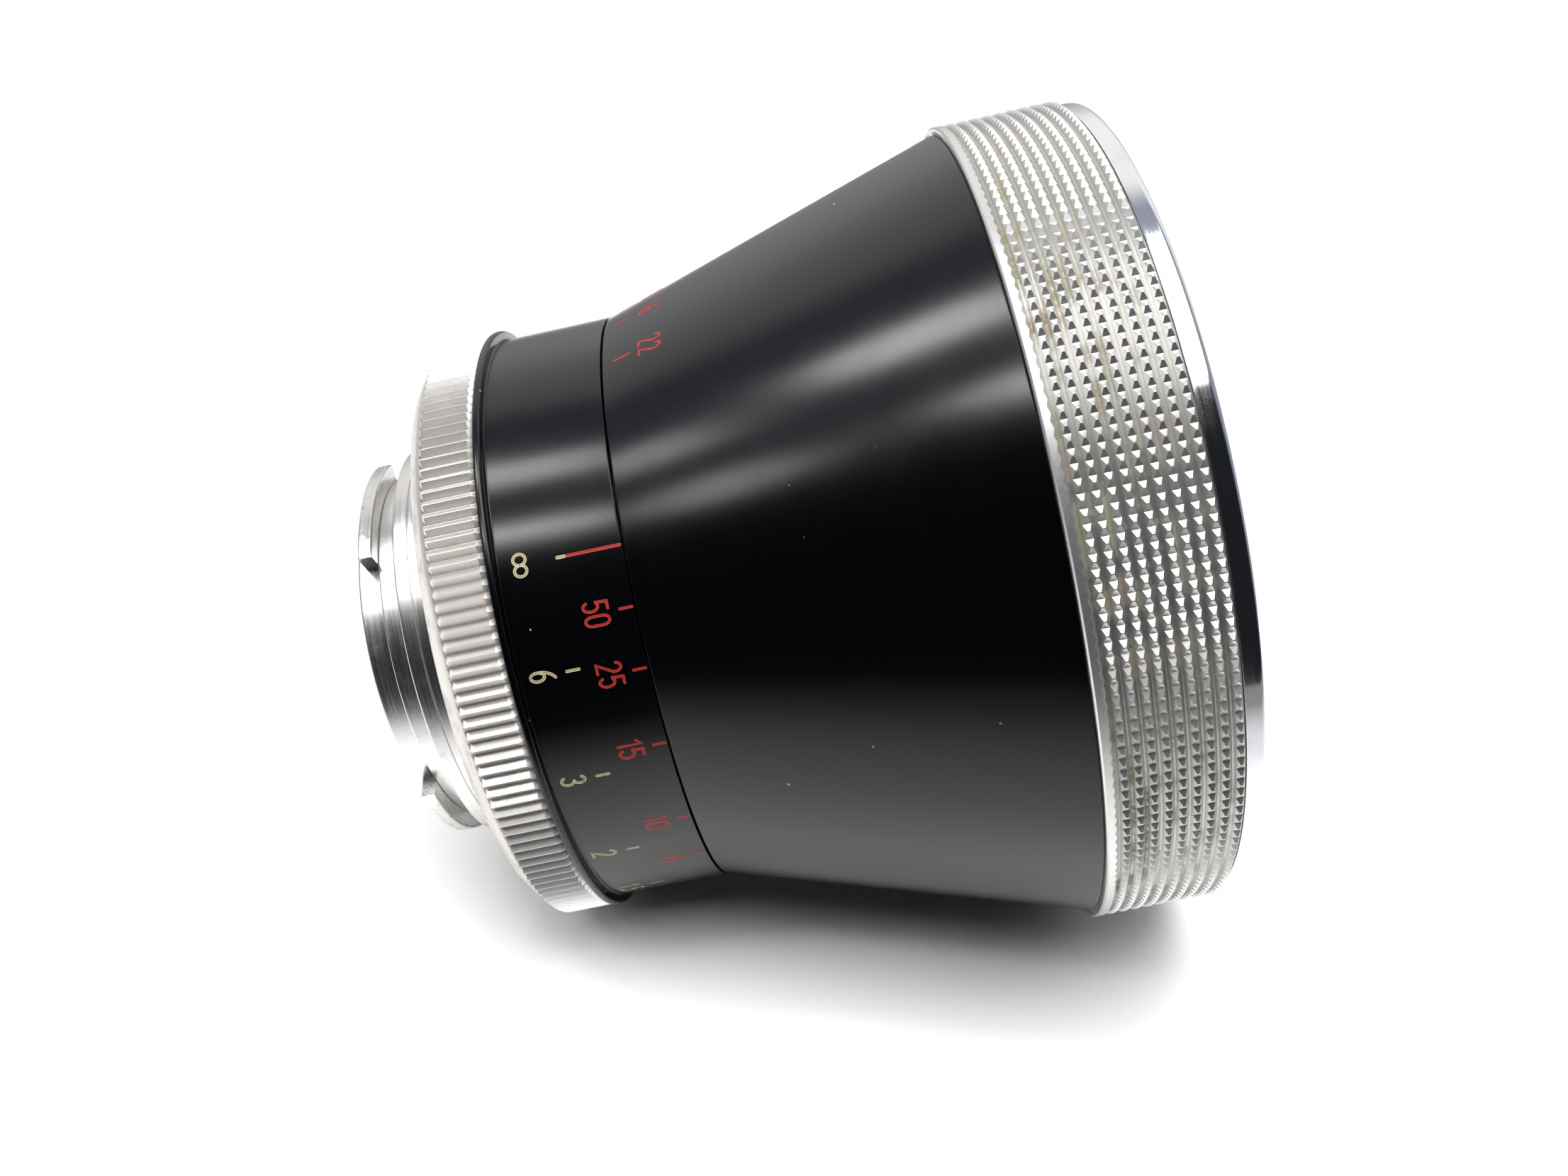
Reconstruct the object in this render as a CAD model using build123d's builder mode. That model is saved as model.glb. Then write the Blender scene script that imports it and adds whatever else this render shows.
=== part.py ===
from build123d import *

import os
from math import cos, radians, sin

# A small interchangeable lens with a conical black barrel. Millimetres. The optical axis is +Z
# and the front of the lens is up. Z = 0 is the rear face of the bayonet flange, the seat that
# meets the camera. Angles are measured about +Z from +X.

# --- Driving dimensions -------------------------------------------------------------------------
FIT = 0.05  # gap between two pieces of one body that are screwed or pressed together
RUNNING = 0.10  # radial gap of a turning or sliding fit
CLEAR = 0.30  # gap between faces that pass each other freely
FOCUS_TRAVEL = 4.0  # how far the front barrel moves out
FOCUS_TURN = 168.0  # degrees of turn of the focusing ring for that travel

# Bayonet and flange
MOUNT_REAR = -3.8
LUG_REAR, LUG_FRONT = -3.0, -1.9
THROAT_R = 12.4
TUBE_R, NECK_R, LUG_R, FLANGE_R = 14.25, 14.8, 16.2, 16.8
LUG_ARC = 46.0
LUG_STARTS = (-164.0, -44.0, 76.0)
FLANGE_FRONT = 2.2
EDGE_BREAK = 0.35  # chamfer on the turned outer edges

# Focusing ring, its scale sleeve and the helicoid
GRIP_REAR, GRIP_FRONT, GRIP_R = 3.8, 9.04, 24.65
GRIP_RIM_R, TEETH_REAR = 22.75, 5.0
GRIP_TEETH, TOOTH_DEPTH = 163, 0.47
VALLEY_R = GRIP_R - TOOTH_DEPTH
SLEEVE_FRONT, SLEEVE_R, SLEEVE_BORE = 18.6, 24.0, 23.2
SLEEVE_EDGE = 0.15
LIP_R, LIP_WIDTH = 24.8, 0.5
SLEEVE_SEAT = 11.0  # the sleeve's bore sits on the grip ring up to this height
WALL = 1.0
CAVITY_R = 22.4
HELICOID_R, HELICOID_FRONT, HELICOID_EDGE = 20.4, 17.5, 0.3

# Cone and front ring
CONE_REAR, CONE_FRONT = 18.9, 46.96
CONE_REAR_R, CONE_FRONT_R = 24.0, 32.45
CONE_WALL, COLLAR, SHOULDER = 1.6, 3.1, 2.0
RING_FRONT, RING_R, RING_EDGE = 56.46, 33.0, 0.2
RING_ROWS, ROW_PITCH, FIRST_ROW = 9, 0.96, 48.43
ROW_FLAT, GROOVE_FLAT, GROOVE_DEPTH = 0.30, 0.20, 0.42
BEZEL_FRONT, BEZEL_R = 58.07, 32.6
FILTER_R, FILTER_REAR = 29.6, 54.0
MOUTH_CHAMFER = 0.4
SPIGOT_R, SPIGOT_BORE, SPIGOT_FRONT = 30.9, 29.5, 52.0

# Inner barrels
SLIDE_REAR, SLIDE_FRONT = 7.0, 26.0
SLIDE_R, SLIDE_BORE = HELICOID_R - RUNNING, 18.5
LEDGE_R, LEDGE = 15.5, 1.9
FIXED_TUBE_R, FIXED_BORE, FIXED_FRONT = 18.3, 17.0, 16.0
PIN_R, PIN_HEIGHT = 1.0, 12.0
PIN_ANGLES = (30, 150, 270)
STOP_R, STOP_PIN_R = 20.0, 0.8
STOP_ANGLE = 200.0
SCREW_CIRCLE_R, SCREW_R, HEAD_R, HEAD_HEIGHT = 15.7, 0.7, 1.1, 0.9
SCREW_SLOT, SCREW_SLOT_FLOOR = 0.35, 0.55
GRUB_R, GRUB_HEIGHT, GRUB_SLOT = 0.8, 20.6, 0.9
GRUB_ANGLES = (10, 90, 170)

# Optical cells
FRONT_GLASS_R, MIDDLE_GLASS_R = 25.8, 22.5
CELL_REAR, CELL_STEP = 31.0, 45.3
CELL_LIP, CELL_LIP_R = 1.0, 20.4
CELL_R, CELL_NECK_R, CELL_SHELF_R = 28.4, 24.4, 24.2
TRIM_R, TRIM_STEP, TRIM_BACK, TRIM_THICK = 27.25, 48.25, 47.7, 0.85
TRIM_REAR_BORE, TRIM_FRONT_BORE = 25.0, 26.6
REAR_CELL_R, REAR_CELL_BORE = 14.0, 12.2
REAR_CELL_REAR, REAR_CELL_STEP, REAR_CELL_FRONT = 2.6, 20.0, 24.0
SEAT_R, SEAT_REAR, SEAT_FRONT = 11.2, 8.2, 9.2
BAFFLE_R, BAFFLE_REAR, BAFFLE_FRONT = 9.0, 22.0, 23.0

# Glass: heights of the rear edge, the rear centre, the front edge and the front centre
FRONT_GLASS = (45.4, 47.5, 47.2, 52.6)
SECOND_GLASS = (37.1, 38.3, 38.6, 44.6)
REAR_GLASS = (5.5, 4.0, 8.0, 8.9)
CEMENT_REAR, CEMENT_FRONT = 33.85, 33.9  # the flat faces where the doublet is cemented
DOUBLET_EDGE, DOUBLET_CENTRE = 35.2, 38.0
DOUBLET_REAR_EDGE, DOUBLET_REAR_CENTRE = 32.05, 33.2


def turn(*outline, mode=Mode.ADD):
    """Revolve a closed outline of (radius, height) corners about the optical axis."""
    with BuildSketch(Plane.XZ) as section:
        with BuildLine():
            Polyline(*outline, close=True)
        make_face()
    revolve(section.sketch, axis=Axis.Z, mode=mode)


def ring(inner, outer, rear, front, mode=Mode.ADD):
    """A plain turned ring between two radii and two heights."""
    turn((inner, rear), (outer, rear), (outer, front), (inner, front), mode=mode)


def radial_plane(angle):
    """The plane through the optical axis at an angle: its x runs outward and its y runs up."""
    outward = (cos(radians(angle)), sin(radians(angle)), 0)
    return Plane(origin=(0, 0, 0), x_dir=outward, z_dir=(outward[1], -outward[0], 0))


def sector(inner, outer, rear, front, start, arc, mode=Mode.ADD):
    """A block of ring from one angle round through an arc."""
    with BuildSketch(radial_plane(start)) as section:
        with BuildLine():
            Polyline((inner, rear), (outer, rear), (outer, front), (inner, front), close=True)
        make_face()
    revolve(section.sketch, axis=Axis.Z, revolution_arc=arc, mode=mode)


def radial_peg(radius, inner, outer, height, angle, mode=Mode.ADD):
    """A round peg that points straight out from the optical axis."""
    outward = (cos(radians(angle)), sin(radians(angle)), 0)
    foot = (inner * outward[0], inner * outward[1], height)
    with BuildSketch(Plane(origin=foot, x_dir=(0, 0, 1), z_dir=outward)) as section:
        Circle(radius)
    extrude(section.sketch, amount=outer - inner, mode=mode)


def lens_element(radius, rear_edge, rear_centre, front_edge, front_centre):
    """A ground and polished element with two spherical faces."""
    with BuildSketch(Plane.XZ) as section:
        with BuildLine():
            TangentArc((0, rear_centre), (radius, rear_edge), tangent=(1, 0))
            Line((radius, rear_edge), (radius, front_edge))
            TangentArc((0, front_centre), (radius, front_edge), tangent=(1, 0))
            Line((0, front_centre), (0, rear_centre))
        make_face()
    revolve(section.sketch, axis=Axis.Z)


def write(part, node):
    """Label a finished piece and write it as one STEP file."""
    part.label = node
    export_step(part, f"parts/{node}.step")


os.makedirs("parts", exist_ok=True)

# --- Fixed mount body ---------------------------------------------------------------------------
SCREW_TIP, SCREW_SEAT, DISC_REAR, DISC_FRONT = 0.7, 5.4, 4.9, 6.5

with BuildPart() as bayonet_mount:
    turn(
        (THROAT_R, MOUNT_REAR),
        (TUBE_R - EDGE_BREAK, MOUNT_REAR),
        (TUBE_R, MOUNT_REAR + EDGE_BREAK),
        (TUBE_R, LUG_FRONT),
        (NECK_R, LUG_FRONT),
        (NECK_R, 0),
        (FLANGE_R, 0),
        (FLANGE_R, FLANGE_FRONT),
        (THROAT_R, FLANGE_FRONT),
    )
    for lug_start in LUG_STARTS:
        sector(TUBE_R - 0.4, LUG_R, LUG_REAR, LUG_FRONT, lug_start, LUG_ARC)
    with BuildSketch(Plane.XY.offset(SCREW_TIP)):
        with PolarLocations(SCREW_CIRCLE_R, 4, start_angle=45):
            Circle(SCREW_R + FIT)
    extrude(amount=FLANGE_FRONT - SCREW_TIP, mode=Mode.SUBTRACT)
write(bayonet_mount.part, "bayonet_mount")

with BuildPart() as fixed_barrel:
    turn(
        (REAR_CELL_R + 0.6, FLANGE_FRONT + FIT),
        (FLANGE_R, FLANGE_FRONT + FIT),
        (FLANGE_R, DISC_REAR),
        (CAVITY_R - RUNNING, DISC_REAR),
        (CAVITY_R - RUNNING, DISC_FRONT),
        (FIXED_TUBE_R, DISC_FRONT),
        (FIXED_TUBE_R, FIXED_FRONT),
        (FIXED_BORE, FIXED_FRONT),
        (FIXED_BORE, DISC_FRONT),
        (REAR_CELL_R + 0.6, DISC_FRONT),
    )
    # The stop pin of the focusing ring runs in this slot, and its ends limit the turn.
    pin_half_angle = 2.6
    sector(
        STOP_R - STOP_PIN_R - CLEAR,
        STOP_R + STOP_PIN_R + CLEAR,
        DISC_REAR - FIT,
        DISC_FRONT + FIT,
        STOP_ANGLE - FOCUS_TURN - pin_half_angle,
        FOCUS_TURN + 2 * pin_half_angle,
        mode=Mode.SUBTRACT,
    )
    with BuildSketch(Plane.XY.offset(FLANGE_FRONT)):
        with PolarLocations(SCREW_CIRCLE_R, 4, start_angle=45):
            Circle(SCREW_R + FIT)
    extrude(amount=SCREW_SEAT - FLANGE_FRONT, mode=Mode.SUBTRACT)
    with BuildSketch(Plane.XY.offset(SCREW_SEAT)):
        with PolarLocations(SCREW_CIRCLE_R, 4, start_angle=45):
            Circle(HEAD_R + FIT)
    extrude(amount=DISC_FRONT - SCREW_SEAT, mode=Mode.SUBTRACT)
    for pin_angle in PIN_ANGLES:
        radial_peg(PIN_R + FIT, FIXED_BORE - 1, FIXED_TUBE_R + 1, PIN_HEIGHT, pin_angle, Mode.SUBTRACT)
write(fixed_barrel.part, "fixed_barrel")

with BuildPart() as mount_screws:
    with BuildSketch(Plane.XY.offset(SCREW_TIP + FIT)):
        with PolarLocations(SCREW_CIRCLE_R, 4, start_angle=45):
            Circle(SCREW_R)
    extrude(amount=SCREW_SEAT - SCREW_TIP)
    with BuildSketch(Plane.XY.offset(SCREW_SEAT + FIT)):
        with PolarLocations(SCREW_CIRCLE_R, 4, start_angle=45):
            Circle(HEAD_R)
    extrude(amount=HEAD_HEIGHT)
    # Each head has a driver slot.
    with BuildSketch(Plane.XY.offset(SCREW_SEAT + SCREW_SLOT_FLOOR)):
        with PolarLocations(SCREW_CIRCLE_R, 4, start_angle=45):
            Rectangle(2 * HEAD_R + 1, SCREW_SLOT)
    extrude(amount=1, mode=Mode.SUBTRACT)
write(mount_screws.part, "mount_screws")

with BuildPart() as guide_pins:
    for pin_angle in PIN_ANGLES:
        radial_peg(PIN_R, FIXED_BORE + FIT, SLIDE_R - RUNNING, PIN_HEIGHT, pin_angle)
write(guide_pins.part, "guide_pins")

# --- Focusing ring body -------------------------------------------------------------------------
STOP_FOOT, STOP_TOP = 4.0, 6.3

with BuildPart() as focus_grip_ring:
    turn(
        (FLANGE_R + CLEAR, GRIP_REAR),
        (GRIP_RIM_R, GRIP_REAR),
        (VALLEY_R - 0.33, TEETH_REAR - 0.4),
        (VALLEY_R, TEETH_REAR),
        (GRIP_R, TEETH_REAR + 0.22),
        (GRIP_R, GRIP_FRONT - EDGE_BREAK),
        (GRIP_R - EDGE_BREAK, GRIP_FRONT),
        (SLEEVE_BORE, GRIP_FRONT),
        (SLEEVE_BORE, SLEEVE_SEAT),
        (CAVITY_R, SLEEVE_SEAT),
        (CAVITY_R, GRIP_REAR + WALL),
        (FLANGE_R + CLEAR, GRIP_REAR + WALL),
    )
    # Straight knurl: V grooves, open at the rear above a rim no higher than their floors.
    half_tooth = 180 / GRIP_TEETH
    zigzag = []
    for corner in range(2 * GRIP_TEETH):
        corner_r = VALLEY_R if corner % 2 else GRIP_R + 0.01
        corner_angle = radians(corner * half_tooth)
        zigzag.append((corner_r * cos(corner_angle), corner_r * sin(corner_angle)))
    with BuildSketch(Plane.XY.offset(TEETH_REAR + 0.03)):
        Circle(GRIP_R + 1)
        with BuildLine():
            Polyline(*zigzag, close=True)
        make_face(mode=Mode.SUBTRACT)
    extrude(amount=GRIP_FRONT - GRIP_REAR, mode=Mode.SUBTRACT)
    # Blind hole for the stop pin.
    with BuildSketch(Plane.XY.offset(STOP_FOOT)):
        with PolarLocations(STOP_R, 1, start_angle=STOP_ANGLE):
            Circle(STOP_PIN_R + FIT)
    extrude(amount=WALL, mode=Mode.SUBTRACT)
write(focus_grip_ring.part, "focus_grip_ring")

with BuildPart() as distance_scale_sleeve:
    turn(
        (SLEEVE_BORE + FIT, GRIP_FRONT + FIT),
        (LIP_R, GRIP_FRONT + FIT),
        (LIP_R, GRIP_FRONT + FIT + LIP_WIDTH),
        (SLEEVE_R, GRIP_FRONT + 3 * FIT + LIP_WIDTH),
        (SLEEVE_R, SLEEVE_FRONT - SLEEVE_EDGE),
        (SLEEVE_R - SLEEVE_EDGE, SLEEVE_FRONT),
        (SLEEVE_BORE + FIT, SLEEVE_FRONT),
    )
write(distance_scale_sleeve.part, "distance_scale_sleeve")

with BuildPart() as helicoid_ring:
    ring(HELICOID_R, CAVITY_R - FIT, DISC_FRONT + RUNNING, HELICOID_FRONT)
    chamfer(helicoid_ring.edges().group_by(Axis.Z)[-1], HELICOID_EDGE)
write(helicoid_ring.part, "helicoid_ring")

with BuildPart() as focus_stop_pin:
    with BuildSketch(Plane.XY.offset(STOP_FOOT + FIT)):
        with PolarLocations(STOP_R, 1, start_angle=STOP_ANGLE):
            Circle(STOP_PIN_R)
    extrude(amount=STOP_TOP - STOP_FOOT)
write(focus_stop_pin.part, "focus_stop_pin")

# --- Front barrel body --------------------------------------------------------------------------
with BuildPart() as slide_barrel:
    turn(
        (SLIDE_BORE, SLIDE_REAR),
        (SLIDE_R, SLIDE_REAR),
        (SLIDE_R, SLIDE_FRONT),
        (LEDGE_R, SLIDE_FRONT),
        (LEDGE_R, SLIDE_FRONT - LEDGE),
        (SLIDE_BORE, SLIDE_FRONT - LEDGE),
    )
    # A slot for each guide pin, open at the rear, so that the barrel slides but can't turn.
    slot_half = PIN_R + RUNNING
    for pin_angle in PIN_ANGLES:
        with BuildSketch(radial_plane(pin_angle)) as slot:
            with BuildLine():
                Polyline(
                    (SLIDE_BORE - 1, SLIDE_REAR - 1),
                    (SLIDE_R + 1, SLIDE_REAR - 1),
                    (SLIDE_R + 1, PIN_HEIGHT + slot_half),
                    (SLIDE_BORE - 1, PIN_HEIGHT + slot_half),
                    close=True,
                )
            make_face()
        extrude(slot.sketch, amount=slot_half, both=True, mode=Mode.SUBTRACT)
    for grub_angle in GRUB_ANGLES:
        radial_peg(GRUB_R + FIT, SLIDE_R - 0.6, SLIDE_R + 1, GRUB_HEIGHT, grub_angle, Mode.SUBTRACT)
write(slide_barrel.part, "slide_barrel")

with BuildPart() as cone_barrel:
    slope = (CONE_FRONT_R - CONE_REAR_R) / (CONE_FRONT - CONE_REAR)
    turn(
        (SLIDE_R + FIT, CONE_REAR),
        (CONE_REAR_R - SLEEVE_EDGE, CONE_REAR),
        (CONE_REAR_R + slope * SLEEVE_EDGE, CONE_REAR + SLEEVE_EDGE),
        (CONE_FRONT_R, CONE_FRONT),
        (SPIGOT_R, CONE_FRONT),
        (SPIGOT_R, SPIGOT_FRONT),
        (SPIGOT_BORE, SPIGOT_FRONT),
        (SPIGOT_BORE, CONE_FRONT - SHOULDER),
        (CONE_FRONT_R - slope * SHOULDER - CONE_WALL, CONE_FRONT - SHOULDER),
        (CONE_REAR_R + slope * COLLAR - CONE_WALL, CONE_REAR + COLLAR),
        (SLIDE_R + FIT, CONE_REAR + COLLAR),
    )
    for grub_angle in GRUB_ANGLES:
        radial_peg(GRUB_R + FIT, SLIDE_R - 1, CONE_REAR_R + 3, GRUB_HEIGHT, grub_angle, Mode.SUBTRACT)
write(cone_barrel.part, "cone_barrel")

with BuildPart() as cone_grub_screws:
    for grub_angle in GRUB_ANGLES:
        radial_peg(GRUB_R, SLIDE_R - 0.5, CONE_REAR_R + 0.1, GRUB_HEIGHT, grub_angle)
        # The driver slot lies across the outer end.
        with BuildSketch(radial_plane(grub_angle)) as driver_slot:
            with Locations((CONE_REAR_R + 0.1, GRUB_HEIGHT)):
                Rectangle(GRUB_SLOT, 2 * GRUB_R + 0.4)
        extrude(driver_slot.sketch, amount=0.15, both=True, mode=Mode.SUBTRACT)
write(cone_grub_screws.part, "cone_grub_screws")

with BuildPart() as front_grip_ring:
    ring(SPIGOT_R + FIT, RING_R, CONE_FRONT + FIT, RING_FRONT)
    chamfer(front_grip_ring.edges().group_by(Axis.Z)[0].sort_by(SortBy.RADIUS)[-1], RING_EDGE)
    # Grooves round the ring part the rows of the knurl.
    for row in range(RING_ROWS - 1):
        middle = FIRST_ROW + (row + 0.5) * ROW_PITCH
        half_mouth = (ROW_PITCH - ROW_FLAT) / 2
        half_floor = GROOVE_FLAT / 2
        turn(
            (RING_R + 0.1, middle - half_mouth),
            (RING_R + 0.1, middle + half_mouth),
            (RING_R, middle + half_mouth),
            (RING_R - GROOVE_DEPTH, middle + half_floor),
            (RING_R - GROOVE_DEPTH, middle - half_floor),
            (RING_R, middle - half_mouth),
            mode=Mode.SUBTRACT,
        )
write(front_grip_ring.part, "front_grip_ring")

CELL_FLANGE = 1.0
FLANGE_BACK = SPIGOT_FRONT + CELL_FLANGE + FIT

with BuildPart() as front_bezel:
    turn(
        (FILTER_R + 0.5, FLANGE_BACK),
        (SPIGOT_R, FLANGE_BACK),
        (SPIGOT_R, RING_FRONT + RUNNING),
        (BEZEL_R, RING_FRONT + RUNNING),
        (BEZEL_R, BEZEL_FRONT - EDGE_BREAK),
        (BEZEL_R - EDGE_BREAK, BEZEL_FRONT),
        (FILTER_R + MOUTH_CHAMFER, BEZEL_FRONT),
        (FILTER_R, BEZEL_FRONT - MOUTH_CHAMFER),
        (FILTER_R, FILTER_REAR),
        (FILTER_R + 0.5, FILTER_REAR),
    )
write(front_bezel.part, "front_bezel")

with BuildPart() as front_cell:
    turn(
        (FRONT_GLASS_R + FIT, CELL_STEP),
        (FRONT_GLASS_R + FIT, TRIM_STEP - FIT),
        (TRIM_R + FIT, TRIM_STEP - FIT),
        (TRIM_R + FIT, SPIGOT_FRONT + CELL_FLANGE),
        (SPIGOT_R - RUNNING, SPIGOT_FRONT + CELL_FLANGE),
        (SPIGOT_R - RUNNING, SPIGOT_FRONT + FIT),
        (CELL_R, SPIGOT_FRONT + FIT),
        (CELL_R, CELL_STEP - 1.0),
        (CELL_NECK_R, CELL_STEP - 2.1),
        (CELL_NECK_R, CELL_REAR),
        (CELL_LIP_R, CELL_REAR),
        (CELL_LIP_R, CELL_REAR + CELL_LIP),
        (MIDDLE_GLASS_R + FIT, CELL_REAR + CELL_LIP),
        (MIDDLE_GLASS_R + FIT, CELL_STEP - 1.0),
        (CELL_SHELF_R, CELL_STEP),
    )
write(front_cell.part, "front_cell")

with BuildPart() as trim_ring:
    turn(
        (TRIM_REAR_BORE, TRIM_BACK),
        (FRONT_GLASS_R, TRIM_BACK),
        (FRONT_GLASS_R, TRIM_STEP),
        (TRIM_R, TRIM_STEP),
        (TRIM_R, FLANGE_BACK),
        (FILTER_R + 0.4, FLANGE_BACK),
        (FILTER_R + 0.4, FLANGE_BACK + TRIM_THICK),
        (TRIM_FRONT_BORE, FLANGE_BACK + TRIM_THICK),
    )
write(trim_ring.part, "trim_ring")

with BuildPart() as front_element:
    lens_element(FRONT_GLASS_R, *FRONT_GLASS)
write(front_element.part, "front_element")

with BuildPart() as second_element:
    lens_element(MIDDLE_GLASS_R, *SECOND_GLASS)
write(second_element.part, "second_element")

with BuildPart() as inner_retaining_ring:
    ring(21.0, MIDDLE_GLASS_R, 39.7, 41.5)
write(inner_retaining_ring.part, "inner_retaining_ring")

with BuildPart() as spacer_ring:
    ring(20.6, MIDDLE_GLASS_R, 35.75, 37.05)
write(spacer_ring.part, "spacer_ring")

with BuildPart() as doublet_front:
    with BuildSketch(Plane.XZ) as front_section:
        with BuildLine():
            Line((0, CEMENT_FRONT), (MIDDLE_GLASS_R, CEMENT_FRONT))
            Line((MIDDLE_GLASS_R, CEMENT_FRONT), (MIDDLE_GLASS_R, DOUBLET_EDGE))
            TangentArc((0, DOUBLET_CENTRE), (MIDDLE_GLASS_R, DOUBLET_EDGE), tangent=(1, 0))
            Line((0, DOUBLET_CENTRE), (0, CEMENT_FRONT))
        make_face()
    revolve(axis=Axis.Z)
write(doublet_front.part, "doublet_front")

with BuildPart() as doublet_rear:
    with BuildSketch(Plane.XZ) as rear_section:
        with BuildLine():
            Line((0, DOUBLET_REAR_CENTRE), (0, CEMENT_REAR))
            Line((0, CEMENT_REAR), (MIDDLE_GLASS_R, CEMENT_REAR))
            Line((MIDDLE_GLASS_R, CEMENT_REAR), (MIDDLE_GLASS_R, DOUBLET_REAR_EDGE))
            Line((MIDDLE_GLASS_R, DOUBLET_REAR_EDGE), (CELL_LIP_R, DOUBLET_REAR_EDGE))
            TangentArc((0, DOUBLET_REAR_CENTRE), (CELL_LIP_R, DOUBLET_REAR_EDGE), tangent=(1, 0))
        make_face()
    revolve(axis=Axis.Z)
write(doublet_rear.part, "doublet_rear")

with BuildPart() as rear_cell:
    turn(
        (REAR_CELL_BORE, REAR_CELL_REAR),
        (REAR_CELL_R, REAR_CELL_REAR),
        (REAR_CELL_R, REAR_CELL_STEP),
        (SLIDE_BORE - FIT, REAR_CELL_STEP),
        (SLIDE_BORE - FIT, REAR_CELL_FRONT),
        (REAR_CELL_BORE, REAR_CELL_FRONT),
    )
    ring(SEAT_R, REAR_CELL_BORE, SEAT_REAR, SEAT_FRONT)
write(rear_cell.part, "rear_cell")

with BuildPart() as rear_element:
    lens_element(REAR_CELL_BORE - FIT, *REAR_GLASS)
write(rear_element.part, "rear_element")

with BuildPart() as rear_retaining_ring:
    ring(10.9, REAR_CELL_BORE - FIT, 2.8, 5.0)
write(rear_retaining_ring.part, "rear_retaining_ring")

with BuildPart() as light_baffle:
    ring(BAFFLE_R, REAR_CELL_BORE - FIT, BAFFLE_REAR, BAFFLE_FRONT)
write(light_baffle.part, "light_baffle")
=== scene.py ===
"""Looks of a small camera lens with a conical black barrel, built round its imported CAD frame.

Outlines are lists of corners (radius, height) or (radius, height, fillet) in millimetres, in the part's frame:
the optical axis is +Z, and angles round it start at -Y, the side with the infinity mark, and turn towards +X.
"""
import math

import bmesh
import bpy
from mathutils import Matrix, Vector

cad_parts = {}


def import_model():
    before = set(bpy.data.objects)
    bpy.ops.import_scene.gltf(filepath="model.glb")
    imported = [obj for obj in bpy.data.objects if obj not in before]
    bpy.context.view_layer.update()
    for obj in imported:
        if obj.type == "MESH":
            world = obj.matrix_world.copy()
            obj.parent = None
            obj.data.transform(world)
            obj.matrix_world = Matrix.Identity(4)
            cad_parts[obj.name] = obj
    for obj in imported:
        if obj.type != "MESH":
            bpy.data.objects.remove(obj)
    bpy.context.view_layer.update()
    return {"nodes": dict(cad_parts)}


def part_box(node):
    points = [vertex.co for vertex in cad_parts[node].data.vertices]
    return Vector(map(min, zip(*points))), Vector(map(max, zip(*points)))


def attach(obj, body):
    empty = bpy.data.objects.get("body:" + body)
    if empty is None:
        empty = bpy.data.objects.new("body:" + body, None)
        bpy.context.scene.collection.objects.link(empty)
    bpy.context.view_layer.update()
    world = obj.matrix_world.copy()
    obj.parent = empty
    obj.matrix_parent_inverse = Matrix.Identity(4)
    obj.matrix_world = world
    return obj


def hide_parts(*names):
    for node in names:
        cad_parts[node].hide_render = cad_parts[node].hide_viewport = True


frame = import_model()

MM = 0.001
TURN = 2 * math.pi
SEGMENTS = 240
FILLET_STEPS = 4
SUPPORT = 0.05  # mm from a corner to the ring that keeps the flat beside it flat
ACROSS = "across_stroke"  # vertex attribute of a painted groove: 0 along its middle, 1 at its edges


# --- Mesh building ------------------------------------------------------------------------------
def direction(angle):
    """Unit (x, y) at an angle in radians, from -Y towards +X."""
    return math.sin(angle), -math.cos(angle)


def point(radius, angle, height):
    x, y = direction(angle)
    return Vector((radius * x, radius * y, height)) * MM


def rounded(outline, steps=FILLET_STEPS):
    """The outline with its fillets drawn as arcs, and a support point near each end of a long side."""
    corners = [(Vector(c[:2]), c[2] if len(c) > 2 else 0.0) for c in outline]
    arcs = []
    for i, (here, fillet) in enumerate(corners):
        before, after = corners[i - 1][0], corners[(i + 1) % len(corners)][0]
        back, on = (before - here).normalized(), (after - here).normalized()
        half = back.angle(on) / 2
        if fillet <= 0 or half > math.radians(87):
            arcs.append([here])
            continue
        reach = min(fillet / math.tan(half), 0.45 * (before - here).length, 0.45 * (after - here).length)
        radius = reach * math.tan(half)
        centre = here + (back + on).normalized() * (radius / math.sin(half))
        first, last = here + back * reach - centre, here + on * reach - centre
        sweep = first.angle_signed(last)
        arcs.append([centre + Matrix.Rotation(-sweep * k / steps, 2) @ first for k in range(steps + 1)])
    points = []
    for i, arc in enumerate(arcs):
        points += arc
        start, end = arc[-1], arcs[(i + 1) % len(arcs)][0]
        side = end - start
        if side.length > 6 * SUPPORT:
            points += [start + side.normalized() * SUPPORT, end - side.normalized() * SUPPORT]
    return points


def add_object(name, data):
    """A new object in the scene."""
    obj = bpy.data.objects.new(name, data)
    bpy.context.scene.collection.objects.link(obj)
    return obj


def finish_mesh(name, bm, smooth_angle=40):
    """Make an object of a bmesh, with smooth faces and sharp edges above an angle."""
    bmesh.ops.recalc_face_normals(bm, faces=bm.faces)
    mesh = bpy.data.meshes.new(name)
    bm.to_mesh(mesh)
    bm.free()
    mesh.shade_smooth()
    mesh.set_sharp_from_angle(angle=math.radians(smooth_angle))
    return add_object(name, mesh)


def ring(bm, radius, height, segments=SEGMENTS, shift=0.0):
    """Vertices evenly round the axis, the first at an angle of shift."""
    return [bm.verts.new(point(radius, TURN * s / segments + shift, height)) for s in range(segments)]


def grid_faces(bm, rows, wrap_rows=False):
    """Join rows of vertices, each a closed loop, with four-sided faces."""
    count = len(rows)
    for i in range(count if wrap_rows else count - 1):
        lower, upper = rows[i], rows[(i + 1) % count]
        for j in range(len(lower)):
            k = (j + 1) % len(lower)
            bm.faces.new((lower[j], lower[k], upper[k], upper[j]))


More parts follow.
